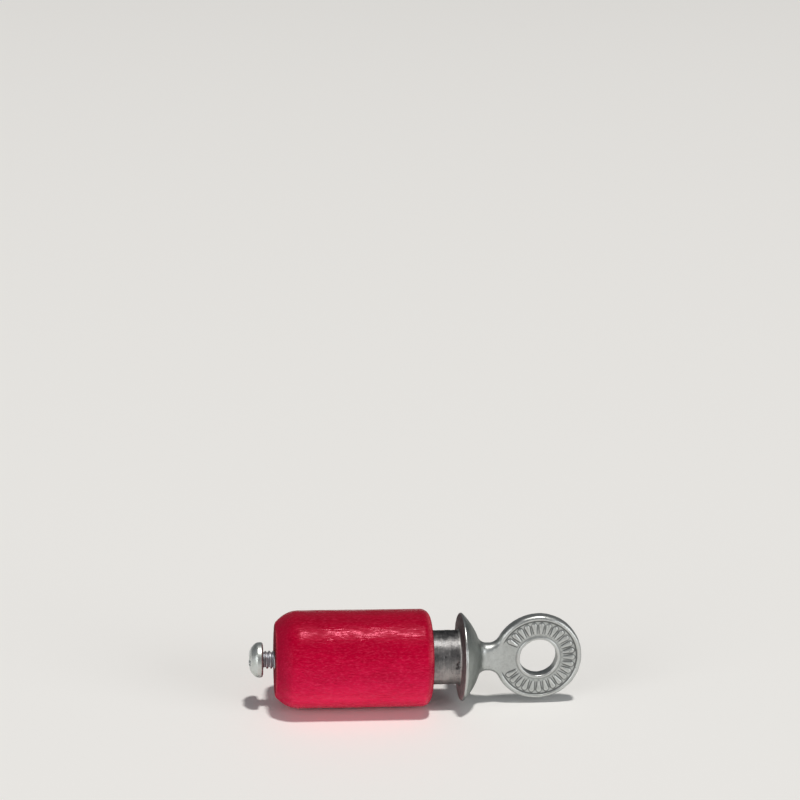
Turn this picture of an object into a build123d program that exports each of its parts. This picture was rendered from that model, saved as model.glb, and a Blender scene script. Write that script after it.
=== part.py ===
from build123d import *

import os
from math import atan2, cos, pi, radians, sin, sqrt, tan

# Twist-type bird call: a turned birch barrel with a blind bore, a cast pewter plug
# with a flange and a finger ring, a retaining screw through the closed end of the
# barrel into the plug, and the dry rosin skin that the plug squeaks on.
#
# Frame: +X along the barrel's axis, from the screw to the finger ring.  +Z up.
# The call lies on its side, so the barrel's lowest line is at z = 0.  The origin is
# under the middle of the whole length.  Millimetres.

# ------------------------------------------------------------------ dimensions
# barrel: 3/4 in birch dowel
BARREL_R = 9.525
BARREL_L = 30.5
BARREL_NOSE_FACE_R = 7.15  # flat left on the closed end
BARREL_NOSE_FLAT = 1.20  # length of the 45 degree bevel, before its arc
BARREL_MOUTH_ROUND = 1.90  # rounding at the open end
BORE_R = 5.43
BORE_DEPTH = 22.6
BORE_POINT_DEG = 59.0  # half angle of the drill point
BORE_LEAD = 0.30  # chamfer at the mouth
SCREW_HOLE_R = 1.95
SCREW_HOLE_LEAD = 0.25

# plug casting; lengths from the barrel's mouth in the stored pose
PLUG_R = 5.30
PLUG_OUT = 5.85  # length that stands out of the barrel
PLUG_IN = 16.15  # length inside the barrel
PLUG_TIP_CHAMFER = 0.6
PLUG_FLANGE_FILLET = 0.45
FLANGE_R = 8.65
FLANGE_RIM_R = 0.32  # rounding of the rim
FLANGE_DISH = 0.10  # the back of the flange leans this far
DOME_R = 12.5  # the dome is one large arc, tangent to the rim
DOME_END = 10.15  # where the dome would meet the axis
RING_CENTRE = 21.50
RING_R = 8.70
RING_EYE_R = 3.75
RING_T = 2.60  # over the raised border
PLATE_T = 2.16  # over the sunk band and the neck
PLATE_EDGE = 0.75  # rounding of the plate's outer edge
BORDER_IN_R = 7.80  # inside of the raised border
BORDER_EDGE = 0.70  # rounding of the border's outer edge
BORDER_INNER_EDGE = 0.12
BORDER_OPEN_DEG = 28.6  # half angle left open towards the neck
COLLAR_R = 4.32  # outside of the raised collar round the eye
COLLAR_T = 2.50
COLLAR_EDGE = 0.25
NECK_HALF = 2.75
NECK_FLARE_R = 2.60
NECK_ROOT_FILLET = 0.60
# the neck swells towards the dome: distance from the mouth, thickness, rounding
NECK_SWELL = ((8.8, 3.52, 1.60), (10.9, 3.52, 1.60), (12.8, 2.84, 1.15), (15.0, 1.70, 0.60))
NECK_SWELL_HALF = 2.70
TAP_R = 1.765
TAP_DEPTH = 7.0

# retaining screw: No. 6-32 pan head, cross recess, 7/8 in long
SCREW_R = 1.7525
SCREW_L = 22.2
HEAD_R = 3.43
HEAD_BACK_ROUND = 0.45  # rounding of the edge under the head
HEAD_H = 2.80
HEAD_GAP = 2.32  # under the head to the barrel's closed end
RECESS_W = 3.9
RECESS_SLOT = 1.0
RECESS_D = 1.75
RECESS_TAPER = 12.0

# rosin skin between plug and bore
ROSIN_R_IN = 5.345
ROSIN_R_OUT = 5.385
ROSIN_FROM = 0.85  # from the plug's inner end
ROSIN_L = 12.4

# ------------------------------------------------------------------ placement
# axial positions measured from the barrel's closed end
S_MOUTH = BARREL_L
S_HEAD = -HEAD_GAP  # under the head
S_APEX = S_HEAD - HEAD_H
S_TIP = S_MOUTH - PLUG_IN
S_BACK = S_MOUTH + PLUG_OUT
S_RING = S_MOUTH + RING_CENTRE
S_END = S_RING + RING_R
X_MID = (S_APEX + S_END) / 2
PLACE = Pos(-X_MID, 0, BARREL_R)
S45 = sqrt(0.5)


def turned(draw_profile):
    """A solid of revolution about X from a closed profile in (x, radius)."""
    with BuildPart() as part:
        with BuildSketch(Plane.XZ):
            with BuildLine():
                draw_profile()
            make_face()
        revolve(axis=Axis.X)
    return part.part


# ------------------------------------------------------------------ barrel
def barrel_profile():
    x1 = BARREL_NOSE_FLAT
    r1 = BARREL_NOSE_FACE_R + BARREL_NOSE_FLAT
    # the arc leaves the bevel at 45 degrees and ends level with the side
    rho = (BARREL_R - r1) / (1 - S45)
    x2 = x1 + rho * S45
    cr = BARREL_R - rho
    a = radians(112.5)
    mid = (x2 + rho * cos(a), cr + rho * sin(a))
    q = BARREL_MOUTH_ROUND
    cmx, cmr = BARREL_L - q, BARREL_R - q
    point = (BORE_R - SCREW_HOLE_R) / tan(radians(BORE_POINT_DEG))
    bottom = BARREL_L - BORE_DEPTH
    lead = SCREW_HOLE_LEAD
    Line((0, SCREW_HOLE_R + lead), (0, BARREL_NOSE_FACE_R))
    Line((0, BARREL_NOSE_FACE_R), (x1, r1))
    ThreePointArc((x1, r1), mid, (x2, BARREL_R))
    Line((x2, BARREL_R), (cmx, BARREL_R))
    ThreePointArc((cmx, BARREL_R), (cmx + q * S45, cmr + q * S45), (BARREL_L, cmr))
    Line((BARREL_L, cmr), (BARREL_L, BORE_R + BORE_LEAD))
    Line((BARREL_L, BORE_R + BORE_LEAD), (BARREL_L - BORE_LEAD, BORE_R))
    Line((BARREL_L - BORE_LEAD, BORE_R), (bottom, BORE_R))
    Line((bottom, BORE_R), (bottom - point, SCREW_HOLE_R))
    Line((bottom - point, SCREW_HOLE_R), (lead, SCREW_HOLE_R))
    Line((lead, SCREW_HOLE_R), (0, SCREW_HOLE_R + lead))


barrel = turned(barrel_profile)

# ------------------------------------------------------------------ ring plug
RIM_X = S_BACK + FLANGE_DISH + FLANGE_RIM_R
RIM_C = FLANGE_R - FLANGE_RIM_R
# centre of the dome's arc: it touches the rim's rounding and ends on the axis
S_DOME = S_MOUTH + DOME_END
rim_dx = RIM_X - S_DOME
rim_d = sqrt(rim_dx**2 + RIM_C**2)
dome_a = (DOME_R**2 - (DOME_R - FLANGE_RIM_R) ** 2 + rim_d**2) / (2 * rim_d)
dome_h = sqrt(DOME_R**2 - dome_a**2)
DOME_X = S_DOME + (dome_a * rim_dx - dome_h * RIM_C) / rim_d
DOME_C = (dome_a * RIM_C + dome_h * rim_dx) / rim_d
DOME_FROM = atan2(RIM_C - DOME_C, RIM_X - DOME_X)  # angle where rim and dome meet
DOME_TO = atan2(-DOME_C, S_DOME - DOME_X)


def rim_point(a):
    return (RIM_X + FLANGE_RIM_R * cos(a), RIM_C + FLANGE_RIM_R * sin(a))


def dome_point(a):
    return (DOME_X + DOME_R * cos(a), DOME_C + DOME_R * sin(a))


def plug_profile():
    f = PLUG_FLANGE_FILLET
    c = PLUG_TIP_CHAMFER
    Line((S_TIP, 0), (S_TIP, PLUG_R - c))
    Line((S_TIP, PLUG_R - c), (S_TIP + c, PLUG_R))
    Line((S_TIP + c, PLUG_R), (S_BACK - f, PLUG_R))
    ThreePointArc(
        (S_BACK - f, PLUG_R),
        (S_BACK - f + f * S45, PLUG_R + f - f * S45),
        (S_BACK, PLUG_R + f),
    )
    Line((S_BACK, PLUG_R + f), (RIM_X - FLANGE_RIM_R, RIM_C))
    ThreePointArc(rim_point(pi), rim_point((pi + DOME_FROM) / 2), rim_point(DOME_FROM))
    ThreePointArc(
        rim_point(DOME_FROM), dome_point((DOME_FROM + DOME_TO) / 2), (S_DOME, 0)
    )
    Line((S_DOME, 0), (S_TIP, 0))


body = turned(plug_profile)

# finger ring and neck: one flat plate
FLARE_DX = sqrt((RING_R + NECK_FLARE_R) ** 2 - (NECK_HALF + NECK_FLARE_R) ** 2)
FLARE_X = S_RING - FLARE_DX
NECK_FROM = S_MOUTH + 8.2  # inside the dome


def ring_outline():
    k = RING_R / (RING_R + NECK_FLARE_R)
    tx = S_RING - FLARE_DX * k
    tz = (NECK_HALF + NECK_FLARE_R) * k
    # middle of the flare arc
    wx = tx - FLARE_X
    wz = tz - (NECK_HALF + NECK_FLARE_R) - NECK_FLARE_R
    n = sqrt(wx * wx + wz * wz)
    mx = FLARE_X + wx / n * NECK_FLARE_R
    mz = NECK_HALF + NECK_FLARE_R + wz / n * NECK_FLARE_R
    Line((NECK_FROM, -NECK_HALF), (NECK_FROM, NECK_HALF))
    Line((NECK_FROM, NECK_HALF), (FLARE_X, NECK_HALF))
    ThreePointArc((FLARE_X, NECK_HALF), (mx, mz), (tx, tz))
    ThreePointArc((tx, tz), (S_RING + RING_R, 0), (tx, -tz))
    ThreePointArc((tx, -tz), (mx, -mz), (FLARE_X, -NECK_HALF))
    Line((FLARE_X, -NECK_HALF), (NECK_FROM, -NECK_HALF))


with BuildPart() as plate:
    with BuildSketch(Plane.XZ):
        with BuildLine():
            ring_outline()
        make_face()
    extrude(amount=PLATE_T / 2, both=True)
    outer = [
        e
        for e in plate.edges()
        if abs(abs(e.center().Y) - PLATE_T / 2) < 1e-6 and e.center().X > NECK_FROM + 0.01
    ]
    fillet(outer, PLATE_EDGE)

# soften the root of the neck where it leaves the dome
plug = body + plate.part
root = [
    e
    for e in plug.edges()
    if S_MOUTH + 8.4 < e.center().X < S_MOUTH + 10.4
    and abs(e.center().Y) < PLATE_T / 2 + 0.2
    and abs(e.center().Z) < NECK_HALF + 0.2
    and e.bounding_box().size.X < 1.0
]
plug = fillet(root, NECK_ROOT_FILLET)

# the neck is thickest at the dome and thins out into the plate
with BuildPart() as swell:
    for at, thick, rounding in NECK_SWELL:
        with BuildSketch(Plane(origin=(S_MOUTH + at, 0, 0), x_dir=(0, 1, 0), z_dir=(1, 0, 0))):
            RectangleRounded(thick, 2 * NECK_SWELL_HALF, rounding)
    loft()
plug = plug + swell.part

# raised border on both faces of the ring, open towards the neck
open_rad = radians(BORDER_OPEN_DEG)
start = (-cos(open_rad), 0, sin(open_rad))
start_normal = (-sin(open_rad), 0, -cos(open_rad))
eye_axis = Axis((S_RING, 0, 0), (0, 1, 0))
with BuildPart() as border:
    with BuildSketch(Plane(origin=(S_RING, 0, 0), x_dir=start, z_dir=start_normal)):
        h, e, g = RING_T / 2, BORDER_EDGE, BORDER_INNER_EDGE
        with BuildLine():
            Line((BORDER_IN_R, -h + g), (BORDER_IN_R, h - g))
            Line((BORDER_IN_R, h - g), (BORDER_IN_R + g, h))
            Line((BORDER_IN_R + g, h), (RING_R - e, h))
            ThreePointArc(
                (RING_R - e, h), (RING_R - e + e * S45, h - e + e * S45), (RING_R, h - e)
            )
            Line((RING_R, h - e), (RING_R, -h + e))
            ThreePointArc(
                (RING_R, -h + e), (RING_R - e + e * S45, -h + e - e * S45), (RING_R - e, -h)
            )
            Line((RING_R - e, -h), (BORDER_IN_R + g, -h))
            Line((BORDER_IN_R + g, -h), (BORDER_IN_R, -h + g))
        make_face()
    revolve(axis=eye_axis, revolution_arc=360 - 2 * BORDER_OPEN_DEG)

# raised collar round the eye, then the eye itself
with BuildPart() as collar:
    with BuildSketch(Plane.XY):
        with Locations((S_RING, 0)):
            h, c = COLLAR_T / 2, COLLAR_EDGE
            Polygon(
                (1.0, -h),
                (COLLAR_R - c, -h),
                (COLLAR_R, -h + c),
                (COLLAR_R, h - c),
                (COLLAR_R - c, h),
                (1.0, h),
                align=None,
            )
    revolve(axis=eye_axis)

with BuildPart() as eye:
    with BuildSketch(Plane.XY):
        with Locations((S_RING, 0)):
            h, c, r = COLLAR_T / 2, COLLAR_EDGE, RING_EYE_R
            Polygon(
                (0, -h - 1.0),
                (r + c + 1.0, -h - 1.0),
                (r, -h + c),
                (r, h - c),
                (r + c + 1.0, h + 1.0),
                (0, h + 1.0),
                align=None,
            )
    revolve(axis=eye_axis)

plug = plug + border.part + collar.part - eye.part

# tapped hole in the inner end for the screw
TAP_CONE = TAP_R / tan(radians(59.0))


def tap_profile():
    Line((S_TIP - 1, 0), (S_TIP - 1, TAP_R))
    Line((S_TIP - 1, TAP_R), (S_TIP + TAP_DEPTH, TAP_R))
    Line((S_TIP + TAP_DEPTH, TAP_R), (S_TIP + TAP_DEPTH + TAP_CONE, 0))
    Line((S_TIP + TAP_DEPTH + TAP_CONE, 0), (S_TIP - 1, 0))


plug = plug - turned(tap_profile)


# ------------------------------------------------------------------ screw
def screw_profile():
    a = S_APEX
    Line((a, 0), (a + 0.04, 0.8))
    Spline(
        (a + 0.04, 0.8),
        (a + 0.28, 1.85),
        (a + 0.95, 2.90),
        (a + 1.72, HEAD_R - 0.03),
        tangents=((0.12, 1.0), (1.0, 0.10)),
    )
    b = HEAD_BACK_ROUND
    Line((a + 1.72, HEAD_R - 0.03), (S_HEAD - b, HEAD_R))
    ThreePointArc(
        (S_HEAD - b, HEAD_R),
        (S_HEAD - b + b * S45, HEAD_R - b + b * S45),
        (S_HEAD, HEAD_R - b),
    )
    Line((S_HEAD, HEAD_R - b), (S_HEAD, SCREW_R))
    Line((S_HEAD, SCREW_R), (S_HEAD + SCREW_L - 0.5, SCREW_R))
    Line((S_HEAD + SCREW_L - 0.5, SCREW_R), (S_HEAD + SCREW_L, SCREW_R - 0.5))
    Line((S_HEAD + SCREW_L, SCREW_R - 0.5), (S_HEAD + SCREW_L, 0))
    Line((S_HEAD + SCREW_L, 0), (a, 0))


screw = turned(screw_profile)
with BuildPart() as recess:
    with BuildSketch(Plane(origin=(S_APEX - 0.05, 0, 0), x_dir=(0, 1, 0), z_dir=(1, 0, 0))):
        Rectangle(RECESS_W, RECESS_SLOT)
        Rectangle(RECESS_SLOT, RECESS_W)
    extrude(amount=RECESS_D + 0.05, taper=RECESS_TAPER)
screw = screw - recess.part

# ------------------------------------------------------------------ rosin skin
with BuildPart() as rosin:
    with BuildSketch(Plane(origin=(S_TIP + ROSIN_FROM, 0, 0), x_dir=(0, 1, 0), z_dir=(1, 0, 0))):
        Circle(ROSIN_R_OUT)
        Circle(ROSIN_R_IN, mode=Mode.SUBTRACT)
    extrude(amount=ROSIN_L)

# ------------------------------------------------------------------ write
NODES = {
    "barrel": barrel,
    "ring_plug": plug,
    "retaining_screw": screw,
    "rosin_skin": rosin.part,
}
os.makedirs("parts", exist_ok=True)
for name, shape in NODES.items():
    placed = PLACE * shape
    export_step(placed, f"parts/{name}.step")
    box = placed.bounding_box()
    com = placed.center(CenterOf.MASS)
    print(
        f"{name}: volume {placed.volume:.1f} mm3, x {box.min.X:.2f}..{box.max.X:.2f},"
        f" y {box.min.Y:.2f}..{box.max.Y:.2f}, z {box.min.Z:.2f}..{box.max.Z:.2f},"
        f" solids {len(placed.solids())}, centre of mass x {com.X:.3f} z {com.Z:.3f}"
    )
print(
    f"axis height {BARREL_R}, x of closed end {-X_MID:.3f}, mouth {S_MOUTH - X_MID:.3f},"
    f" ring centre {S_RING - X_MID:.3f}, overall {S_END - S_APEX:.2f}"
)
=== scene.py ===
import math

import bpy
import numpy as np
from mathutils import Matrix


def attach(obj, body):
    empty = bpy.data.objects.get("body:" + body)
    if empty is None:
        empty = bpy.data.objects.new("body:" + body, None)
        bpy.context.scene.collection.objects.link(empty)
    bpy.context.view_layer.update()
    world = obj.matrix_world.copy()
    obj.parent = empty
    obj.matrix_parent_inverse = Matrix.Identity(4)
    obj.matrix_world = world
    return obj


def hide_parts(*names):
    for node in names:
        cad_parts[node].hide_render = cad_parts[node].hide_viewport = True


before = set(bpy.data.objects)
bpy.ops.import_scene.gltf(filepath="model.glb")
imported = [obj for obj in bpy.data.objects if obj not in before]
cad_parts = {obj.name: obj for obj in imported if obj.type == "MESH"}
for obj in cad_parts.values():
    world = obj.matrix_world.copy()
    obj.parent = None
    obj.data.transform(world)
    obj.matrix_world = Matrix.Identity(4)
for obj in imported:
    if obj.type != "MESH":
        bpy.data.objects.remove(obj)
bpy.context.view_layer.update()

import openvdb
from mathutils import Matrix, Vector

MM = 0.001

# ------------------------------------------------------------------ sizes, in mm
# The call lies along X.  s is the distance from the barrel's closed end.
AXIS_Z = 9.525
S_TO_X = -27.79
BARREL_R, BARREL_L = 9.525, 30.5
BORE_R, BORE_BOTTOM = 5.43, 7.9
SCREW_HOLE_R = 1.95
PLUG_R, S_TIP, S_BACK = 5.30, 14.35, 36.35
FLANGE_R, RIM_R = 8.65, 0.32
RIM_S = S_BACK + 0.10 + RIM_R
DOME_R, DOME_END = 12.5, 40.65
RING_S, RING_R, EYE_R = 52.0, 8.70, 3.75
PLATE_T, RING_T, COLLAR_T = 2.16, 2.60, 2.50
NECK_HALF, FLARE_R = 2.75, 2.60
HEAD_R, HEAD_H, S_HEAD = 3.43, 2.80, -2.32
SCREW_R, SCREW_L, PITCH = 1.7525, 22.2, 25.4 / 32


# ------------------------------------------------------------------ mesh helpers
def new_mesh_object(name, verts_mm, quads, tris=(), smooth=True):
    """An object from points in mm (row frame) and index arrays."""
    me = bpy.data.meshes.new(name)
    v = np.asarray(verts_mm, np.float64) * MM
    q = np.asarray(quads, np.int64).reshape(-1, 4)
    t = np.asarray(tris, np.int64).reshape(-1, 3)
    loops = np.concatenate([q.ravel(), t.ravel()]).astype(np.int32)
    starts = np.concatenate([np.arange(len(q)) * 4, len(q) * 4 + np.arange(len(t)) * 3]).astype(np.int32)
    me.vertices.add(len(v))
    me.vertices.foreach_set("co", v.astype(np.float32).ravel())
    me.loops.add(len(loops))
    me.loops.foreach_set("vertex_index", loops)
    me.polygons.add(len(starts))
    me.polygons.foreach_set("loop_start", starts)
    me.update(calc_edges=True)
    me.validate()
    me.polygons.foreach_set("use_smooth", np.full(len(me.polygons), smooth))
    ob = bpy.data.objects.new(name, me)
    bpy.context.scene.collection.objects.link(ob)
    return ob


def arc(cx, cy, r, a0, a1, n):
    a = np.radians(np.linspace(a0, a1, n))
    return [(cx + r * math.cos(t), cy + r * math.sin(t)) for t in a]


def spaced(points, step):
    """The open polyline with points no further apart than step."""
    out = [points[0]]
    for a, b in zip(points[:-1], points[1:]):
        n = max(1, int(math.ceil(math.dist(a, b) / step)))
        out += [(a[0] + (b[0] - a[0]) * i / n, a[1] + (b[1] - a[1]) * i / n) for i in range(1, n + 1)]
    return out


def basis(at, spacing):
    """Cubic B-spline weights that spread a coarse row of values over the places at."""
    n = len(at)
    x = (at - at[0]) / spacing
    k = int(x[-1]) + 4
    w = np.zeros((n, k), np.float32)
    i = np.floor(x).astype(int)
    f = x - i
    r = np.arange(n)
    w[r, i] = (1 - f) ** 3 / 6
    w[r, i + 1] = (3 * f**3 - 6 * f**2 + 4) / 6
    w[r, i + 2] = (-3 * f**3 + 3 * f**2 + 3 * f + 1) / 6
    w[r, i + 3] = f**3 / 6
    return w


def soft_noise(planes, spacing, seed):
    """Smooth noise of about unit spread on a grid with these planes."""
    rng = np.random.default_rng(seed)
    ws = [basis(at, spacing) for at in planes]
    g = rng.standard_normal([w.shape[1] for w in ws]).astype(np.float32)
    for w in ws:
        g = np.tensordot(g, w, axes=(0, 1))  # cycles the axes back into order
    return g / max(float(g.std()), 1e-6)


def wrapped_noise(n, m, len_n, len_m, seed):
    """Noise of unit spread on an n by m sheet that closes on itself; features len_n by len_m cells."""
    rng = np.random.default_rng(seed)
    f = np.fft.fft2(rng.standard_normal((n, m)))
    a = np.exp(-0.5 * (2 * math.pi * np.fft.fftfreq(n) * len_n / 2.0) ** 2)
    b = np.exp(-0.5 * (2 * math.pi * np.fft.fftfreq(m) * len_m / 2.0) ** 2)
    g = np.real(np.fft.ifft2(f * a[:, None] * b[None, :]))
    return g / g.std()


def polygon_distance(px, py, poly):
    """Signed distance, negative inside, from points to a closed polygon."""
    poly = np.asarray(poly, np.float64)
    best = np.full(px.shape, 1e9)
    inside = np.zeros(px.shape, bool)
    for (ax, ay), (bx, by) in zip(poly, np.roll(poly, -1, axis=0)):
        ex, ey = bx - ax, by - ay
        ll = ex * ex + ey * ey
        if ll < 1e-14:
            continue
        t = np.clip(((px - ax) * ex + (py - ay) * ey) / ll, 0, 1)
        best = np.minimum(best, (px - ax - t * ex) ** 2 + (py - ay - t * ey) ** 2)
        cross = (ay > py) != (by > py)
        if ey != 0:
            inside ^= cross & (px < ax + (py - ay) / ey * ex)
    d = np.sqrt(best)
    return np.where(inside, -d, d)


def join_round(a, b, r):
    """Union of two distance fields with a fillet of radius r in the corner."""
    u, v = np.maximum(r - a, 0), np.maximum(r - b, 0)
    return np.maximum(r, np.minimum(a, b)) - np.sqrt(u * u + v * v)


def cut_round(a, b, r):
    """Intersection of two distance fields with the edge rounded to radius r."""
    u, v = np.maximum(r + a, 0), np.maximum(r + b, 0)
    return np.minimum(-r, np.maximum(a, b)) + np.sqrt(u * u + v * v)


def smooth_step(t):
    t = np.clip(t, 0, 1)
    return t * t * (3 - 2 * t)


def field_mesh(field, xs, ys, zs):
    """Points in mm, quads and triangles of a field's zero surface on a grid whose planes are at xs, ys, zs."""
    grid = openvdb.FloatGrid(10.0)
    grid.copyFromArray(np.ascontiguousarray(field, np.float32))
    pts, tris, quads = grid.convertToPolygons(isovalue=0.0, adaptivity=0.0)
    pts = np.asarray(pts, np.float64)
    out = np.stack(
        [np.interp(pts[:, i], np.arange(len(c)), c) for i, c in enumerate((xs, ys, zs))], axis=1
    )
    return out, np.asarray(quads, np.int64).reshape(-1, 4), np.asarray(tris, np.int64).reshape(-1, 3)


def sample(field, idx):
    """A field's values at fractional grid places (n, 3)."""
    top = np.array(field.shape) - 1.001
    p = np.clip(idx, 0, top)
    i = p.astype(int)
    f = p - i
    out = 0
    for dx in (0, 1):
        wx = f[:, 0] if dx else 1 - f[:, 0]
        for dy in (0, 1):
            wy = f[:, 1] if dy else 1 - f[:, 1]
            for dz in (0, 1):
                wz = f[:, 2] if dz else 1 - f[:, 2]
                out = out + wx * wy * wz * field[i[:, 0] + dx, i[:, 1] + dy, i[:, 2] + dz]
    return out


def bend_of(field, pts, planes, reach=(0.18, 0.36)):
    """How sharply a field's surface bends at points: above 0 on proud edges, below 0 in grooves."""

    def value(p):
        return sample(field, np.stack([np.interp(p[:, i], c, np.arange(len(c))) for i, c in enumerate(planes)], axis=1))

    bend = np.zeros(len(pts))
    for d in reach:
        lap = -6 * value(pts)
        for axis in range(3):
            for sign in (-1, 1):
                o = np.zeros(3)
                o[axis] = sign * d
                lap = lap + value(pts + o)
        bend += lap / d
    return bend


def outward(pts, quads, tris):
    """Turns all faces over if the closed mesh is inside out."""
    vol = 0.0
    for a, b, c in ((0, 1, 2), (0, 2, 3)):
        if len(quads):
            p, q, r = pts[quads[:, a]], pts[quads[:, b]], pts[quads[:, c]]
            vol += np.einsum("ij,ij->i", p, np.cross(q, r)).sum()
    if len(tris):
        p, q, r = pts[tris[:, 0]], pts[tris[:, 1]], pts[tris[:, 2]]
        vol += np.einsum("ij,ij->i", p, np.cross(q, r)).sum()
    return (quads[:, ::-1], tris[:, ::-1]) if vol < 0 else (quads, tris)


def point_value(ob, name, values):
    a = ob.data.attributes.new(name, "FLOAT", "POINT")
    a.data.foreach_set("value", np.asarray(values, np.float32))


def turned_field(profile, xs, ys, zs, reach):
    """Distance field of a profile (s, radius) turned about the axis."""
    rs = np.arange(0, reach, 0.02)
    table = polygon_distance(*np.meshgrid(xs, rs, indexing="ij"), profile).astype(np.float32)
    rad = np.sqrt(ys[:, None] ** 2 + zs[None, :] ** 2) / 0.02
    i0 = np.minimum(rad.astype(int), len(rs) - 2)
    fr = (rad - i0).astype(np.float32)
    return table[:, i0] * (1 - fr) + table[:, i0 + 1] * fr


# ------------------------------------------------------------------ barrel
def make_barrel():
    def nose(s):
        return BARREL_R - 2.4 * max(0.0, 1 - s / 4.7) ** 2.2

    q = 1.9
    # closed profile, (s, radius), from the screw hole round the outside to the bore
    prof = spaced([(0.22, SCREW_HOLE_R), (0.05, SCREW_HOLE_R + 0.07), (0.0, SCREW_HOLE_R + 0.25), (0.0, 6.88)], 0.36)
    # the corner between the flat end and the shoulder is only just broken
    prof += arc(0.30, 6.88, 0.30, 180, 140, 5)[1:]
    prof += [(s, nose(s)) for s in np.linspace(0.17, 1.4, 11)]
    prof += [(s, nose(s)) for s in np.linspace(1.4, 4.7, 19)[1:]]
    prof += spaced([(4.7, BARREL_R), (BARREL_L - q, BARREL_R)], 0.32)[1:]
    prof += arc(BARREL_L - q, BARREL_R - q, q, 90, 0, 15)[1:]
    prof += spaced([(BARREL_L, BARREL_R - q), (BARREL_L, BORE_R + 0.32)], 0.32)[1:]
    prof += arc(BARREL_L - 0.32, BORE_R + 0.32, 0.32, 0, -90, 6)[1:]
    prof += spaced([(BARREL_L - 0.32, BORE_R), (BORE_BOTTOM, BORE_R)], 1.6)[1:]
    point = (BORE_R - SCREW_HOLE_R) / math.tan(math.radians(59))
    prof += spaced([(BORE_BOTTOM, BORE_R), (BORE_BOTTOM - point, SCREW_HOLE_R)], 1.0)[1:]
    prof += spaced([(BORE_BOTTOM - point, SCREW_HOLE_R), (0.22, SCREW_HOLE_R)], 1.2)[1:-1]
    prof = np.array(prof)
    n, m = len(prof), 512
    th = np.arange(m) / m * 2 * math.pi
    s = np.repeat(prof[:, 0][:, None], m, 1)
    r = np.repeat(prof[:, 1][:, None], m, 1)
    # the outside, from the corner of the flat end to the corner of the mouth
    first = int(np.argmax(prof[:, 1] > 6.95))
    last = first + int(np.argmax(prof[first:, 1] < 7.65))
    outer = np.zeros(n)
    outer[first:last] = 1
    # turned and sanded by hand: the outside is a few hundredths out of true, and the
    # fibres stand proud in short dashes along the grain
    rng = np.random.default_rng(5)
    wob = np.zeros_like(r)
    for k in range(2, 9):
        wob += np.cos(k * th + rng.uniform(0, 6.3)) * 0.010 / k
        wob += np.cos(k * th + prof[:, 0][:, None] * rng.uniform(-0.25, 0.25) + rng.uniform(0, 6.3)) * 0.012 / k
    cell = 0.10
    rows = int(BARREL_L / cell) + 1
    around = 2 * math.pi * BARREL_R / m
    sheet = 0.0130 * wrapped_noise(rows, m, 1.5 / cell, 0.46 / around, 21)
    sheet += 0.0100 * wrapped_noise(rows, m, 3.6 / cell, 0.75 / around, 22)
    sheet += 0.0160 * wrapped_noise(rows, m, 4.4 / cell, 1.8 / around, 23)
    at = np.clip(prof[:, 0] / cell, 0, rows - 1.001)
    i0 = at.astype(int)
    fr = (at - i0)[:, None]
    wob += sheet[i0] * (1 - fr) + sheet[i0 + 1] * fr
    # a few dents from use, and a nick near the top
    for s0, t0, w, d in ((21.6, 97, 0.35, 0.09), (9.5, -24, 0.6, 0.05), (25.2, 14, 0.45, 0.05), (6.4, 160, 0.5, 0.06), (17.0, 215, 0.7, 0.05), (12.6, 270, 0.5, 0.05)):
        dt = (th - math.radians(t0 + 180) + math.pi) % (2 * math.pi) - math.pi
        wob -= d * np.exp(-((dt[None, :] * BARREL_R / w) ** 2) - ((prof[:, 0][:, None] - s0) / (1.5 * w)) ** 2)
    r = r + np.minimum(wob - 0.050, 0.0) * outer[:, None]
    v = np.stack([s + S_TO_X, r * np.cos(th), AXIS_Z + r * np.sin(th)], axis=2).reshape(-1, 3)
    i = np.arange(n)[:, None]
    j = np.arange(m)[None, :]
    a = i * m + j
    b = i * m + (j + 1) % m
    c = ((i + 1) % n) * m + (j + 1) % m
    d = ((i + 1) % n) * m + j
    quads = np.stack([a, b, c, d], axis=2).reshape(-1, 4)
    quads, _ = outward(v - v.mean(0), quads, np.zeros((0, 3), int))
    ob = new_mesh_object("turned_barrel", v, quads)
    # where the stain is rubbed: the two outer corners; on the mouth's rounding it is also a painted highlight
    wear_and_sheen = np.exp(-(((prof[:, 0] - 0.12) / 0.22) ** 2) - ((prof[:, 1] - 7.12) / 0.22) ** 2)
    # the mouth's rounding: wear and a painted highlight
    wear_and_sheen = np.maximum(wear_and_sheen, 1.0 * np.exp(-(((prof[:, 0] - 29.95) / 0.50) ** 2) - ((prof[:, 1] - 8.95) / 0.55) ** 2))
    point_value(ob, "wear_and_sheen", np.repeat(wear_and_sheen, m))
    # bare wood inside: the bore and the screw's hole
    bare = np.zeros(n)
    mouth = last + int(np.argmax(prof[last:, 1] < BORE_R + 0.2))
    bare[mouth:] = np.clip((BARREL_L - 0.1 - prof[mouth:, 0]) / 1.6, 0, 1)
    bare[: 2] = 1
    point_value(ob, "bare", np.repeat(bare, m))
    return ob


# ------------------------------------------------------------------ ring plug
def ring_outline():
    dx = math.sqrt((RING_R + FLARE_R) ** 2 - (NECK_HALF + FLARE_R) ** 2)
    fx = RING_S - dx
    a = math.degrees(math.atan2(NECK_HALF + FLARE_R, dx))
    top = [(38.5, NECK_HALF)] + arc(fx, NECK_HALF + FLARE_R, FLARE_R, -90, -a, 24)
    ring = arc(RING_S, 0, RING_R, 180 - a, -180 + a, 220)
    low = [(x, -z) for x, z in reversed(top)]
    return top + ring[1:-1] + low


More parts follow.
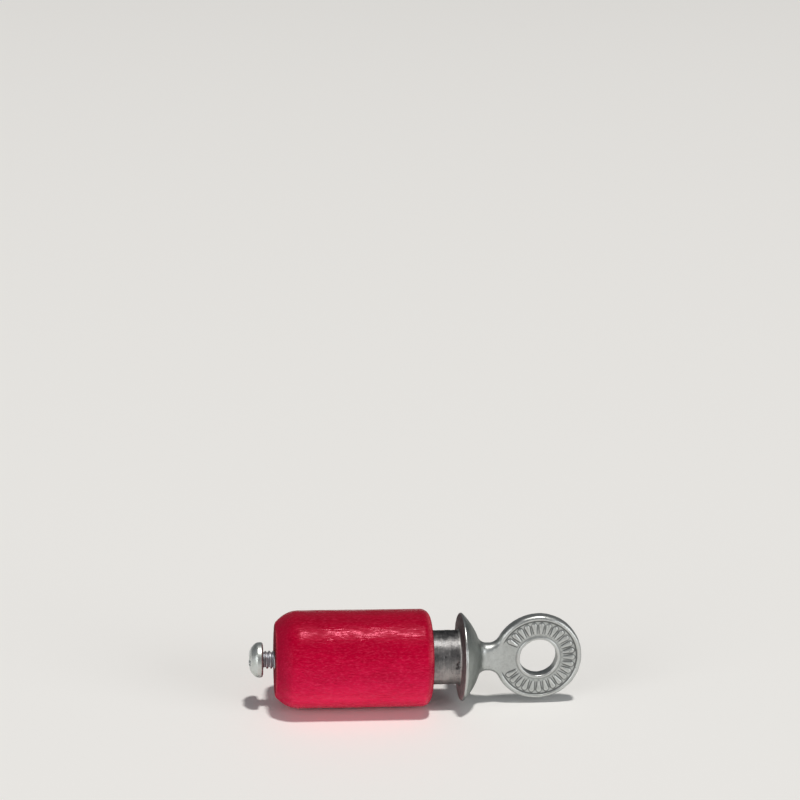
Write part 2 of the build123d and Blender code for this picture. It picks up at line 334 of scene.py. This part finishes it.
def plug_profile():
    f = 0.45
    p = [(S_TIP, -1.0), (S_TIP, PLUG_R - 0.6), (S_TIP + 0.6, PLUG_R)]
    p += arc(S_BACK - f, PLUG_R + f, f, -90, 0, 8)
    # the dome's arc touches the rim's rounding and ends on the axis
    rim = FLANGE_R - RIM_R
    dx, d = RIM_S - DOME_END, math.hypot(RIM_S - DOME_END, rim)
    a = (DOME_R**2 - (DOME_R - RIM_R) ** 2 + d * d) / (2 * d)
    h = math.sqrt(DOME_R**2 - a * a)
    cx, cr = DOME_END + (a * dx - h * rim) / d, (a * rim + h * dx) / d
    meet = math.degrees(math.atan2(rim - cr, RIM_S - cx))
    p += arc(RIM_S, rim, RIM_R, 180, meet, 20)
    p += arc(cx, cr, DOME_R, meet, math.degrees(math.atan2(-cr, DOME_END - cx)), 40)[1:]
    p += [(DOME_END, -1.0)]
    return p


def make_plug():
    # the grid is finest at the ring, and coarse where the plug is inside the barrel
    h = 0.134
    xs = np.concatenate(
        [
            np.arange(13.9, 15.6, 0.2),
            np.arange(15.6, 28.9, 0.6),
            np.arange(28.9, 35.5, 0.17),
            np.arange(35.5, RING_S + RING_R + 0.5, h),
        ]
    )
    side = np.concatenate([np.arange(0.5, 18.1) * h, 18.5 * h + np.arange(36) * 0.19])
    ys = np.concatenate([-side[::-1], side])
    zs = np.arange(-9.042, 9.042 + h / 2, h)
    nx = len(xs)
    planes = (xs, ys, zs)
    body = turned_field(plug_profile(), xs, ys, zs, 13.2)

    # flat plate of ring and neck, with a thickness that varies over it
    sx, sz = np.meshgrid(xs, zs, indexing="ij")
    flat = polygon_distance(sx, sz, ring_outline())
    rho = np.hypot(sx - RING_S, sz)
    ang = np.degrees(np.arctan2(sz, sx - RING_S))
    away = 180 - np.abs(ang)  # degrees from the neck's side
    half = np.full_like(rho, PLATE_T / 2)
    # raised border: it dies away along the flare of the neck
    half += (RING_T - PLATE_T) / 2 * smooth_step(np.clip((rho - 7.70) / 0.24, 0, 1) * np.clip((away - 19) / 14, 0, 1))
    # raised collar round the eye
    half += (COLLAR_T - PLATE_T) / 2 * smooth_step((4.44 - rho) / 0.24)
    # plain ornament in the sunk band: a row of raised drops, like a gadroon
    orn = np.zeros_like(rho)
    rng = np.random.default_rng(17)
    for k in range(-12, 13):
        a = math.radians(k * 12.4)
        ca, sa = math.cos(a), math.sin(a)
        u = (sx - RING_S) * ca + sz * sa
        w = -(sx - RING_S) * sa + sz * ca
        t = np.clip((u - 5.12) / (6.78 - 5.12), 0, 1)
        d = np.hypot(u - (5.12 + 1.66 * t), w) - (0.16 + 0.26 * t)
        orn = np.maximum(orn, rng.uniform(0.125, 0.175) * smooth_step(0.5 - d / 0.24))
    half += orn
    # the neck swells and grows rounder towards the dome
    root = smooth_step((45.0 - sx) / 3.6)
    half += 0.70 * root
    half = half[:, None, :].astype(np.float32)
    flat = flat[:, None, :].astype(np.float32)
    yy = np.abs(ys)[None, :, None].astype(np.float32)
    e = (0.72 + 0.93 * root)[:, None, :].astype(np.float32)
    plate = cut_round(flat, yy - half, e)
    # faint parting line round the edge, left by the two halves of the mould
    plate -= 0.035 * np.exp(-((yy / 0.10) ** 2)) * np.exp(-((flat / 0.30) ** 2))

    field = join_round(body, plate, 1.35)
    eye = EYE_R - rho[:, None, :].astype(np.float32)
    field = cut_round(field, np.broadcast_to(eye, field.shape), 0.26)
    tap = np.hypot(ys[:, None], zs[None, :]) - 1.765
    tap = np.maximum(tap[None], (xs - (S_TIP + 7.0))[:, None, None]).astype(np.float32)
    field = np.maximum(field, -tap)
    clean = field

    # the skin of the casting is not quite true
    skin = np.clip((xs - (S_BACK - 0.6)) / 1.2, 0, 1)[:, None, None].astype(np.float32)
    slow = soft_noise(planes, 3.2, 3)
    mid = soft_noise(planes, 1.1, 8)
    fine = soft_noise(planes, 0.42, 12)
    field = field + skin * (0.020 * slow + 0.014 * mid + 0.009 * fine)
    # the plug is rubbed round and round in the bore: shallow scores across its length
    rng = np.random.default_rng(31)
    score = np.zeros(nx)
    for _ in range(34):
        score += rng.uniform(0.3, 1.0) * np.exp(-(((xs - rng.uniform(28.5, S_BACK - 0.6)) / rng.uniform(0.07, 0.16)) ** 2))
    score *= np.clip((xs - 28.9) / 0.5, 0, 1) * np.clip((S_BACK - 0.5 - xs) / 0.5, 0, 1)
    rub = (1 - skin) * np.clip((xs - 28.9) / 0.5, 0, 1)[:, None, None]
    field = field + (rub * (0.010 * score[:, None, None] + 0.008 * mid + 0.005 * fine)).astype(np.float32)
    # small blow holes of the casting
    holes = []
    for s0, t0, d0 in ((35.50, 6, 0.27), (35.68, -1, 0.27), (35.34, -3, 0.24), (35.72, 10, 0.18), (33.0, 22, 0.20), (32.2, -40, 0.22), (34.2, 150, 0.26), (33.4, 100, 0.22), (35.2, 230, 0.26), (32.6, 285, 0.20)):
        a = math.radians(180 - t0)
        c = (s0, (PLUG_R + 0.04) * math.cos(a), (PLUG_R + 0.04) * math.sin(a))
        holes.append((c, d0))
        dist = np.sqrt((xs - c[0])[:, None, None] ** 2 + (ys - c[1])[None, :, None] ** 2 + (zs - c[2])[None, None, :] ** 2)
        field = np.maximum(field, (d0 - dist).astype(np.float32))

    pts, quads, tris = field_mesh(field, xs, ys, zs)
    quads, tris = outward(pts, quads, tris)
    bend = bend_of(clean, pts, planes)
    # painted shade: marks the blow holes and their rims, to be coloured dark
    pocked = np.zeros(len(pts))
    for c, d0 in holes:
        pocked = np.maximum(pocked, np.clip(1.6 - np.linalg.norm(pts - np.array(c), axis=1) / d0, 0, 1))
    pts[:, 0] += S_TO_X
    pts[:, 2] += AXIS_Z
    ob = new_mesh_object("cast_ring_plug", pts, quads, tris)
    # proud edges above 0.5, corners and grooves below
    point_value(ob, "edge", np.clip(0.5 + 0.28 * bend, 0, 1))
    point_value(ob, "pocked", pocked)
    return ob


# ------------------------------------------------------------------ screw
def make_screw():
    # head: a turned dome with a cross recess, on a fine grid
    h = 0.06
    xs = np.arange(S_HEAD - HEAD_H - 0.3, S_HEAD + 0.75, h)
    ys = np.arange(-3.72, 3.72 + h / 2, h)
    zs = ys.copy()
    a, b = S_HEAD - HEAD_H, 0.45
    prof = [(a, -1.0), (a, 0.0), (a + 0.04, 0.8), (a + 0.13, 1.32), (a + 0.28, 1.85), (a + 0.56, 2.42), (a + 0.95, 2.90), (a + 1.32, 3.22), (a + 1.72, 3.40), (S_HEAD - b - 0.1, 3.43)]
    prof += arc(S_HEAD - b, HEAD_R - b, b, 86, 0, 8)
    prof += [(S_HEAD, 1.62), (S_HEAD + 0.35, 1.30), (S_HEAD + 0.55, 1.30), (S_HEAD + 0.55, -1.0)]
    head = turned_field(prof, xs, ys, zs, 6.0)
    # recess: four tapered wings that meet in a cone
    dep = (xs - a)[:, None, None]
    yy, zz = np.abs(ys)[None, :, None], np.abs(zs)[None, None, :]
    long_, wide = np.maximum(yy, zz), np.minimum(yy, zz)
    wing = np.maximum(long_ - (2.05 - 0.45 * dep), wide - (0.52 - 0.12 * dep))
    cone = np.sqrt(yy**2 + zz**2) - (1.02 - 0.32 * dep)
    cut = np.minimum(wing, cone)
    cut = np.maximum(cut, dep - (1.75 - 0.35 * np.sqrt(yy**2 + zz**2))).astype(np.float32)
    head = cut_round(head, -cut, 0.09)
    pts, quads, tris = field_mesh(head, xs, ys, zs)
    quads, tris = outward(pts, quads, tris)
    pts = pts + np.array([S_TO_X, 0, AXIS_Z])
    head_ob = new_mesh_object("screw_head_blank", pts, quads, tris)

    # shank: a true helical thread, with rounded crest and root and a chamfered point
    n, k = 72, 12
    depth = 0.33
    end = S_HEAD + SCREW_L
    x = np.linspace(S_HEAD - 0.4, end, int(round((SCREW_L + 0.4) / PITCH * k)) + 1)
    ang = np.arange(n) / n * 2 * math.pi
    turn = (x[:, None] - S_HEAD + 0.9) / PITCH - ang[None, :] / (2 * math.pi)
    crest = smooth_step((0.48 - 0.5 * np.cos(2 * math.pi * turn)) / 0.90)  # 0 at the root
    # runs out under the head
    crest *= 0.25 + 0.75 * np.clip((x - (S_HEAD + 0.10)) / 0.45, 0, 1)[:, None]
    r = SCREW_R - depth + depth * crest
    r = np.minimum(r, SCREW_R - np.clip(x - (end - 0.62), 0, 0.7)[:, None] * 0.95)
    v = np.stack([np.broadcast_to(x[:, None], r.shape), r * np.cos(ang), r * np.sin(ang)], axis=2).reshape(-1, 3)
    i, j = np.arange(len(x) - 1)[:, None] * n, np.arange(n)
    nxt = (j + 1) % n
    quads = np.stack(np.broadcast_arrays(i + j, i + n + j, i + n + nxt, i + nxt), axis=2).reshape(-1, 4)
    # a fan closes each end
    ends = np.array([(x[0], 0, 0), (x[-1], 0, 0)])
    mid, far = len(v), (len(x) - 1) * n
    tris = np.concatenate(
        [np.stack([np.full(n, mid), j, nxt], axis=1), np.stack([np.full(n, mid + 1), far + nxt, far + j], axis=1)]
    )
    v = np.concatenate([v, ends])
    quads, tris = outward(v, quads, tris)
    shank = new_mesh_object("screw_shank_blank", v + np.array([S_TO_X, 0, AXIS_Z]), quads, tris)

    mod = head_ob.modifiers.new("join", "BOOLEAN")
    mod.operation = "UNION"
    mod.solver = "EXACT"
    mod.object = shank
    deps = bpy.context.evaluated_depsgraph_get()
    joined = bpy.data.meshes.new_from_object(head_ob.evaluated_get(deps), depsgraph=deps)
    ob = bpy.data.objects.new("threaded_screw", joined)
    bpy.context.scene.collection.objects.link(ob)
    for o in (head_ob, shank):
        bpy.data.objects.remove(o)
    ob.data.materials.clear()
    return ob


# ------------------------------------------------------------------ material helpers
class Shade:
    """A material's node tree, with short calls for the nodes used here."""

    def __init__(self, name):
        self.mat = bpy.data.materials.new(name)
        self.mat.use_nodes = True
        self.tree = self.mat.node_tree
        self.out = self.tree.nodes["Principled BSDF"]
        at = self.node("ShaderNodeTexCoord")
        self.normal = at.outputs["Normal"]
        # millimetres: x is s, y and z from the axis
        m = self.node("ShaderNodeMapping")
        m.inputs["Location"].default_value = (-S_TO_X, 0, -AXIS_Z)
        m.inputs["Scale"].default_value = (1 / MM, 1 / MM, 1 / MM)
        self.put(m.inputs["Vector"], at.outputs["Object"])
        self.p = m.outputs["Vector"]
        x = self.node("ShaderNodeSeparateXYZ")
        self.put(x.inputs[0], self.p)
        self.s, self.y, self.z = x.outputs

    def node(self, kind):
        return self.tree.nodes.new(kind)

    def put(self, socket, value):
        if isinstance(value, bpy.types.NodeSocket):
            self.tree.links.new(value, socket)
        elif hasattr(socket.default_value, "__len__") and len(socket.default_value) == 4 and len(value) == 3:
            socket.default_value = (*value, 1)
        else:
            socket.default_value = value

    def set(self, name, value):
        self.put(self.out.inputs[name], value)

    def math(self, op, a, b=0.0, clamp=False):
        n = self.node("ShaderNodeMath")
        n.operation = op
        n.use_clamp = clamp
        self.put(n.inputs[0], a)
        self.put(n.inputs[1], b)
        return n.outputs[0]

    def add(self, *terms):
        total = terms[0]
        for t in terms[1:]:
            total = self.math("ADD", total, t)
        return total

    def mul(self, a, b):
        return self.math("MULTIPLY", a, b)

    def part(self, value, weight, middle=0.5):
        """weight * (value - middle)"""
        return self.mul(self.math("SUBTRACT", value, middle), weight)

    def step(self, value, lo, hi, out_lo=0.0, out_hi=1.0):
        """value from lo..hi to out_lo..out_hi, eased."""
        n = self.node("ShaderNodeMapRange")
        n.interpolation_type = "SMOOTHSTEP"
        for i, v in enumerate((value, lo, hi, out_lo, out_hi)):
            self.put(n.inputs[i], v)
        return n.outputs[0]

    def stretch(self, factors, shift=(0, 0, 0)):
        n = self.node("ShaderNodeVectorMath")
        n.operation = "MULTIPLY_ADD"
        self.put(n.inputs[0], self.p)
        n.inputs[1].default_value = factors
        n.inputs[2].default_value = shift
        return n.outputs[0]

    def noise(self, factors, shift=(0, 0, 0), detail=2.0, rough=0.5, twist=0.0):
        """Noise with features about 1 / factors mm long on each axis."""
        n = self.node("ShaderNodeTexNoise")
        self.put(n.inputs["Vector"], self.stretch(factors, shift))
        n.inputs["Scale"].default_value = 1.0
        n.inputs["Detail"].default_value = detail
        n.inputs["Roughness"].default_value = rough
        n.inputs["Distortion"].default_value = twist
        return n.outputs[0]

    def cells(self, factors, shift=(0, 0, 0)):
        n = self.node("ShaderNodeTexVoronoi")
        self.put(n.inputs["Vector"], self.stretch(factors, shift))
        n.inputs["Scale"].default_value = 1.0
        return n.outputs["Distance"], n.outputs["Color"]

    def ramp(self, fac, *stops):
        n = self.node("ShaderNodeValToRGB")
        e = n.color_ramp.elements
        while len(e) < len(stops):
            e.new(0.5)
        for el, (at, color) in zip(e, stops):
            el.position = at
            el.color = (*color, 1)
        self.put(n.inputs[0], fac)
        return n.outputs[0]

    def mix(self, fac, a, b, kind="MIX"):
        n = self.node("ShaderNodeMix")
        n.data_type = "RGBA"
        n.blend_type = kind
        self.put(n.inputs[0], fac)
        self.put(n.inputs[6], a)
        self.put(n.inputs[7], b)
        return n.outputs[2]

    def blend(self, fac, a, b):
        n = self.node("ShaderNodeMix")
        n.data_type = "FLOAT"
        self.put(n.inputs[0], fac)
        self.put(n.inputs[2], a)
        self.put(n.inputs[3], b)
        return n.outputs[0]

    def attribute(self, name):
        n = self.node("ShaderNodeAttribute")
        n.attribute_name = name
        return n.outputs["Fac"]

    def radius(self, y0=0.0, z0=0.0):
        dy, dz = self.math("SUBTRACT", self.y, y0), self.math("SUBTRACT", self.z, z0)
        return self.math("SQRT", self.add(self.mul(dy, dy), self.mul(dz, dz)))

    def bump(self, *layers):
        """Bump from (height, size in mm of one unit) layers."""
        normal = None
        for height, size in layers:
            n = self.node("ShaderNodeBump")
            n.inputs["Strength"].default_value = 1.0
            n.inputs["Distance"].default_value = size * MM
            self.put(n.inputs["Height"], height)
            if normal is not None:
                self.put(n.inputs["Normal"], normal)
            normal = n.outputs["Normal"]
        self.set("Normal", normal)


# ------------------------------------------------------------------ materials
def red_wood():
    """Birch, stained deep red and waxed."""
    k = Shade("red_stained_birch")
    dash = k.noise((0.65, 2.6, 2.6), detail=2, rough=0.5)
    fine = k.noise((1.5, 8.5, 8.5), (5, 1, 2), detail=2, rough=0.6)
    fibre = k.noise((1.4, 4.4, 4.4), (7, 2, 9), detail=2, rough=0.6)
    streak = k.noise((0.13, 1.6, 1.6), (9, 3, 7), detail=3, rough=0.55)
    cloud = k.noise((0.11, 0.20, 0.20), (2, 8, 4), detail=2, rough=0.5)
    # growth rings about a pith well off the axis
    warp = k.noise((0.05, 0.35, 0.35), (4, 4, 1), detail=1)
    rings = k.math("SINE", k.add(k.mul(k.radius(16.0, -7.0), 3.4), k.mul(warp, 4.0)))
    # pores: short thin dashes along the grain
    far, tone = k.cells((0.85, 5.2, 5.2))
    pore = k.mul(k.step(far, 0.10, 0.30, 1.0, 0.0), k.step(k.noise((0.2, 0.9, 0.9), (1, 6, 3)), 0.50, 0.66))
    side = k.add(k.mul(k.y, -0.020), k.mul(k.z, -0.100))  # painted shade: lighter towards the bottom and the front, darker towards the top
    v = k.add(
        0.63,
        k.part(cloud, 0.18),
        k.part(streak, 0.16),
        k.part(dash, 0.24),
        k.part(fine, 0.26),
        k.mul(rings, 0.025),
        # painted shade: the base colour rises towards the bottom and the front
        k.mul(side, 0.34),
        k.mul(pore, -0.24),
    )
    color = k.ramp(
        v,
        (0.00, (0.170, 0.0006, 0.010)),
        (0.34, (0.330, 0.0008, 0.018)),
        (0.56, (0.460, 0.0014, 0.029)),
        (0.80, (0.700, 0.0080, 0.064)),
        (1.00, (0.890, 0.0240, 0.108)),
    )
    # single fibres that took little stain; more of them show towards the bottom, following the painted shade
    pale = k.mul(k.step(fibre, 0.46, 0.72), k.step(side, -0.6, 0.9, 0.20, 0.56))
    color = k.mix(pale, color, (0.800, 0.0560, 0.1400))
    # end grain drinks more stain, and the shoulder cuts across the fibres
    x = k.node("ShaderNodeSeparateXYZ")
    k.put(x.inputs[0], k.normal)
    across = k.math("ABSOLUTE", x.outputs[0])
    color = k.mix(k.step(across, 0.16, 0.75, 0.0, 0.55), color, (0.270, 0.0040, 0.026))
    specks = k.noise((5.0, 5.0, 5.0), (3, 3, 9), detail=2)
    color = k.mix(k.mul(k.step(across, 0.86, 0.98), k.step(specks, 0.30, 0.75, 0.45, 0.95)), color, (0.120, 0.0030, 0.010))
    # rubbed corners, lighter on the mouth's rounding as a painted highlight, and bare wood inside
    rub = k.mul(k.attribute("wear_and_sheen"), k.step(k.add(specks, k.part(cloud, 0.8)), 0.36, 0.62))
    color = k.mix(k.mul(rub, 0.70), color, (0.690, 0.090, 0.115))
    bare = k.ramp(k.add(k.mul(streak, 0.6), k.mul(dash, 0.4)), (0.2, (0.36, 0.21, 0.10)), (0.8, (0.62, 0.43, 0.25)))
    color = k.mix(k.step(k.add(k.attribute("bare"), k.part(cloud, 0.5)), 0.25, 0.85), color, bare)
    k.set("Base Color", color)
    # the wax is rubbed up in patches
    patch = k.step(k.noise((0.30, 0.80, 0.80), (11, 4, 2), detail=2), 0.36, 0.56)
    rough = k.add(k.blend(patch, 0.42, 0.19), k.part(fine, 0.20), k.mul(pore, 0.12), k.step(across, 0.3, 0.95, 0.0, 0.70))
    k.set("Roughness", rough)
    k.set("Specular IOR Level", 0.14)
    k.set("Specular Tint", (1.0, 0.22, 0.36))  # the lustre comes from stained fibres under the wax
    k.bump((dash, 0.062), (k.add(k.mul(fine, 0.7), k.mul(pore, -0.8)), 0.012))
    return k.mat


def pewter():
    """Cast pewter: grey and matt in the hollows, rubbed bright on the edges."""
    k = Shade("cast_pewter")
    edge = k.attribute("edge")
    grain = k.noise((2.4, 2.4, 2.4), detail=4, rough=0.62)
    fine = k.noise((9.0, 9.0, 9.0), (4, 2, 7), detail=2, rough=0.6)
    cloud = k.noise((0.42, 0.42, 0.42), (7, 1, 5), detail=3, rough=0.55)
    stain = k.noise((0.9, 0.9, 0.9), (2, 9, 3), detail=3, rough=0.6)
    around = k.noise((5.5, 0.30, 0.30), (8, 5, 1), detail=3, rough=0.6)
    plug = k.step(k.s, 35.9, 36.5, 1.0, 0.0)
    dome = k.mul(k.step(k.s, 35.9, 36.5), k.step(k.s, 39.8, 41.6, 1.0, 0.0))

    mottle = k.noise((1.3, 1.3, 1.3), (5, 6, 2), detail=3, rough=0.65)
    v = k.add(0.5, k.part(grain, 0.60), k.part(mottle, 0.60), k.part(cloud, 0.40), k.part(fine, 0.24))
    cast = k.ramp(v, (0.10, (0.370, 0.385, 0.380)), (0.50, (0.515, 0.535, 0.525)), (0.90, (0.620, 0.640, 0.630)))
    # the plug is worn unevenly, with painted shade: darker towards the top, lighter towards the bottom
    w = k.add(0.5, k.part(around, 0.55), k.part(stain, 0.80), k.part(grain, 0.30), k.mul(k.z, -0.070))
    worn_and_shaded = k.ramp(w, (0.08, (0.105, 0.105, 0.107)), (0.42, (0.235, 0.230, 0.230)), (0.80, (0.450, 0.432, 0.420)))
    color = k.mix(plug, cast, worn_and_shaded)
    # painted reflection: the dome is darker and greener, standing in for dark surroundings
    color = k.mix(k.mul(dome, 0.52), color, (0.250, 0.278, 0.252))
    # the corner between plug and flange is rubbed by the mouth of the barrel
    corner = k.mul(k.step(k.s, 35.78, 35.98), k.step(k.s, 36.12, 36.30, 1.0, 0.0))
    color = k.mix(k.mul(corner, k.step(stain, 0.34, 0.60, 0.35, 0.85)), color, (0.480, 0.480, 0.465))
    # the back of the flange is darker and mottled, and lighter towards the bottom as painted shade
    x = k.node("ShaderNodeSeparateXYZ")
    k.put(x.inputs[0], k.normal)
    flange = k.mul(k.step(k.s, 36.16, 36.34), k.step(k.s, 37.0, 37.4, 1.0, 0.0))
    back = k.mul(k.step(x.outputs[0], -0.85, -0.45, 1.0, 0.0), flange)
    # painted shade: lighter towards the bottom
    dust = k.math("ADD", stain, k.mul(k.z, -0.050), clamp=True)
    color = k.mix(k.mul(back, 0.92), color, k.mix(dust, (0.130, 0.102, 0.104), (0.560, 0.458, 0.468)))
    # grooves and corners round the ornament are darker, edges are rubbed bright
    pit = k.step(k.add(edge, k.part(stain, 0.10)), 0.28, 0.46, 1.0, 0.0)
    pit = k.mul(pit, k.step(k.s, 36.6, 45.5, 0.12, 0.76))
    dx = k.math("SUBTRACT", k.s, RING_S)
    from_eye = k.math("SQRT", k.add(k.mul(dx, dx), k.mul(k.z, k.z)))
    pit = k.mul(pit, k.step(from_eye, 4.75, 5.0, 0.45, 1.0))
    color = k.mix(pit, color, (0.085, 0.088, 0.088))
    bright = k.mul(k.step(k.add(edge, k.part(grain, 0.14)), 0.60, 0.86), k.math("SUBTRACT", 1.0, back))
    color = k.mix(k.mul(bright, 0.50), color, (0.690, 0.700, 0.685))
    # pin holes here and there in the skin of the casting; these and the blow holes are painted near black as shade
    far, tone = k.cells((1.15, 1.15, 1.15), (3, 7, 1))
    pin = k.mul(k.step(far, 0.07, 0.15, 1.0, 0.0), k.step(stain, 0.50, 0.58))
    color = k.mix(k.math("MAXIMUM", k.mul(pin, 0.70), k.mul(k.attribute("pocked"), 0.90)), color, (0.050, 0.050, 0.052))
    k.set("Base Color", color)
    k.set("Metallic", 1.0)
    k.set("Specular Tint", (0.50, 0.50, 0.50))  # tarnish dulls it at a slant
    rough = k.blend(plug, k.add(0.43, k.part(grain, 0.20), k.part(cloud, 0.12)), k.add(0.42, k.part(around, 0.26), k.part(stain, 0.26)))
    rough = k.add(rough, k.mul(pit, 0.16), k.mul(bright, -0.08), k.mul(dome, -0.04), k.mul(back, 0.28))
    k.set("Roughness", rough)
    k.bump((k.add(k.mul(grain, 0.7), k.mul(mottle, 0.6), k.mul(pin, -0.8)), 0.030), (fine, 0.006), (k.mul(around, plug), 0.045))
    return k.mat


def zinc():
    """Bright zinc plate on the screw."""
    k = Shade("zinc_plate")
    cloud = k.noise((0.8, 0.8, 0.8), (3, 3, 1), detail=2)
    grain = k.noise((4.0, 4.0, 4.0), (1, 7, 2), detail=3, rough=0.6)
    scuff = k.noise((1.2, 14.0, 3.0), (6, 2, 2), detail=2)
    color = k.ramp(k.add(0.5, k.part(cloud, 0.9), k.part(grain, 0.4)), (0.2, (0.500, 0.540, 0.505)), (0.5, (0.630, 0.660, 0.640)), (0.8, (0.690, 0.710, 0.735)))
    r = k.radius()
    # dull, with painted shade, in the thread's roots and in the recess
    root = k.mul(k.step(r, 1.44, 1.68, 1.0, 0.0), k.step(k.s, S_HEAD - 0.05, S_HEAD + 0.1))
    cross = k.mul(k.step(r, 1.9, 2.1, 1.0, 0.0), k.mul(k.step(k.s, S_HEAD - HEAD_H + 0.22, S_HEAD - HEAD_H + 0.6), k.step(k.s, S_HEAD - 0.4, S_HEAD - 0.2, 1.0, 0.0)))
    dull_and_shaded = k.math("MAXIMUM", root, cross)
    # the plate has a faint blue cast on the thread
    color = k.mix(k.step(k.s, S_HEAD, S_HEAD + 0.2, 0.0, 0.6), color, (0.640, 0.640, 0.720))
    # painted shade: the roots and the recess are darkened
    color = k.mix(k.mul(dull_and_shaded, 0.40), color, (0.170, 0.175, 0.200))
    k.set("Base Color", color)
    k.set("Metallic", 1.0)
    k.set("Roughness", k.add(0.42, k.part(grain, 0.18), k.part(scuff, 0.14), k.mul(dull_and_shaded, 0.10)))
    k.bump((grain, 0.006), (scuff, 0.003))
    return k.mat


def rosin():
    """Dry rosin, dusted on and rubbed to a dull amber film."""
    k = Shade("dry_rosin")
    dust = k.noise((2.2, 2.2, 2.2), detail=4, rough=0.65)
    rub = k.noise((4.5, 0.5, 0.5), (2, 5, 5), detail=3)
    v = k.add(0.5, k.part(dust, 0.7), k.part(rub, 0.6))
    k.set("Base Color", k.ramp(v, (0.15, (0.30, 0.12, 0.025)), (0.50, (0.52, 0.26, 0.07)), (0.85, (0.74, 0.52, 0.26))))
    k.set("Roughness", k.add(0.45, k.part(dust, 0.4)))
    k.bump((dust, 0.015), (rub, 0.008))
    return k.mat


def floor_paint():
    k = Shade("pale_floor")
    k.set("Base Color", (0.90, 0.895, 0.88))
    k.set("Roughness", 0.7)
    k.set("Specular IOR Level", 0.2)
    return k.mat


# ------------------------------------------------------------------ build the pieces
barrel = make_barrel()
plug = make_plug()
screw = make_screw()
for ob in (barrel, plug, screw):
    ob.data.calc_loop_triangles()
    print("TRIS", ob.name, len(ob.data.loop_triangles))

barrel.data.materials.append(red_wood())
plug.data.materials.append(pewter())
screw.data.materials.append(zinc())
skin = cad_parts["rosin_skin"]
skin.data.materials.clear()
skin.data.materials.append(rosin())

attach(barrel, "barrel")
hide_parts("barrel")
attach(plug, "plug")
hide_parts("ring_plug")
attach(screw, "plug")
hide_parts("retaining_screw")

# ------------------------------------------------------------------ floor
me = bpy.data.meshes.new("floor")
z = -0.00005
me.from_pydata([(-14, -14, z), (14, -14, z), (14, 14, z), (-14, 14, z)], [], [(0, 1, 2, 3)])
floor = bpy.data.objects.new("floor", me)
bpy.context.scene.collection.objects.link(floor)
floor.data.materials.append(floor_paint())

# ------------------------------------------------------------------ camera
AZ, EL, ROLL = (math.radians(v) for v in (-6.473, 14.914, 1.602))
DIST = 0.379532
target = Vector((-0.004599, 0.0, 0.061974))
d = Vector((math.sin(AZ) * math.cos(EL), -math.cos(AZ) * math.cos(EL), math.sin(EL)))
right = (-d).cross(Vector((0, 0, 1))).normalized()
up = right.cross(-d)
r2 = right * math.cos(ROLL) + up * math.sin(ROLL)
u2 = -right * math.sin(ROLL) + up * math.cos(ROLL)
cam = bpy.data.cameras.new("camera")
cam.sensor_width = 36
cam.lens = 90
cam.clip_start = 0.01
cam_ob = bpy.data.objects.new("camera", cam)
cam_ob.matrix_world = Matrix.Translation(target + d * DIST) @ Matrix(
    ((r2.x, u2.x, d.x), (r2.y, u2.y, d.y), (r2.z, u2.z, d.z))
).to_4x4()
bpy.context.scene.collection.objects.link(cam_ob)
bpy.context.scene.camera = cam_ob


# ------------------------------------------------------------------ light
def aimed(light, loc, aim):
    o = bpy.data.objects.new(light.name, light)
    o.location = loc
    o.rotation_euler = (Vector(aim) - Vector(loc)).to_track_quat("-Z", "Y").to_euler()
    bpy.context.scene.collection.objects.link(o)
    return o


def area(name, loc, aim, size, radiance, color=(1, 1, 1)):
    l = bpy.data.lights.new(name, "AREA")
    l.shape = "RECTANGLE"
    l.size, l.size_y = size
    l.energy = radiance * math.pi * size[0] * size[1]
    l.color = color
    return aimed(l, loc, aim)


top = bpy.data.lights.new("overhead", "SUN")
top.energy = 2.0
top.angle = math.radians(5)
top.color = (1.0, 0.97, 0.93)
aimed(top, (0.06, -0.08, 0.60), (0, 0, 0))
# two large soft boxes, far enough away to light the floor evenly
area("left_front", (-3.6, -3.0, 1.51), (0, 0, 0.01), (3.0, 2.6), 2.5)
area("right_front", (4.0, -3.0, 1.51), (0, 0, 0.01), (3.0, 2.6), 2.8)
world = bpy.data.worlds.new("studio")
bpy.context.scene.world = world
world.use_nodes = True
tree = world.node_tree
bg = tree.nodes["Background"]
bg.inputs["Color"].default_value = (0.92, 0.96, 1.0, 1)
bg.inputs["Strength"].default_value = 0.15
# a plain pale backdrop, which gives no light of its own
pale = tree.nodes.new("ShaderNodeBackground")
pale.inputs["Color"].default_value = (0.66, 0.655, 0.64, 1)
both = tree.nodes.new("ShaderNodeMixShader")
tree.links.new(tree.nodes.new("ShaderNodeLightPath").outputs["Is Camera Ray"], both.inputs[0])
tree.links.new(bg.outputs[0], both.inputs[1])
tree.links.new(pale.outputs[0], both.inputs[2])
tree.links.new(both.outputs[0], tree.nodes["World Output"].inputs["Surface"])
bpy.context.scene.view_settings.view_transform = "Standard"
